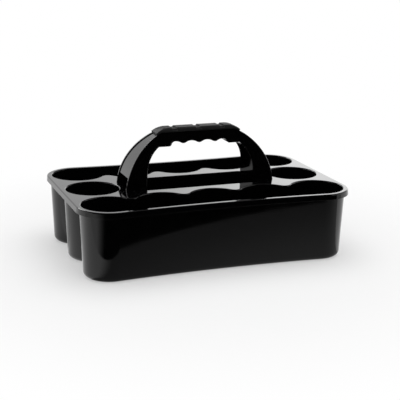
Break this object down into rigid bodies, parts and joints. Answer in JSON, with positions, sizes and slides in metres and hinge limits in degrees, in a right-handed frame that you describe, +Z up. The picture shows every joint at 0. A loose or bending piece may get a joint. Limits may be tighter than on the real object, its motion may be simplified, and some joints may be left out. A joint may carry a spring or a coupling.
{
  "type": "bottle carrier basket",
  "caption": "Moulded carrying basket with round places for bottles around a middle slot, and an arched handle with a soft grip",
  "frame": {"origin": "middle of the basket's outline, on the table", "axes": "+X along the basket and its handle, the flat front wall faces -Y, +Z up"},
  "size_m": [0.407, 0.2666, 0.1852],
  "materials": {
    "basket": "gloss black",
    "handle": "satin to gloss black",
    "grip_cover": "soft matte dark grey"
  },
  "bodies": {
    "root": {"basket": "basket", "handle": "handle", "grip_cover": "grip_cover"}
  },
  "joints": []
}
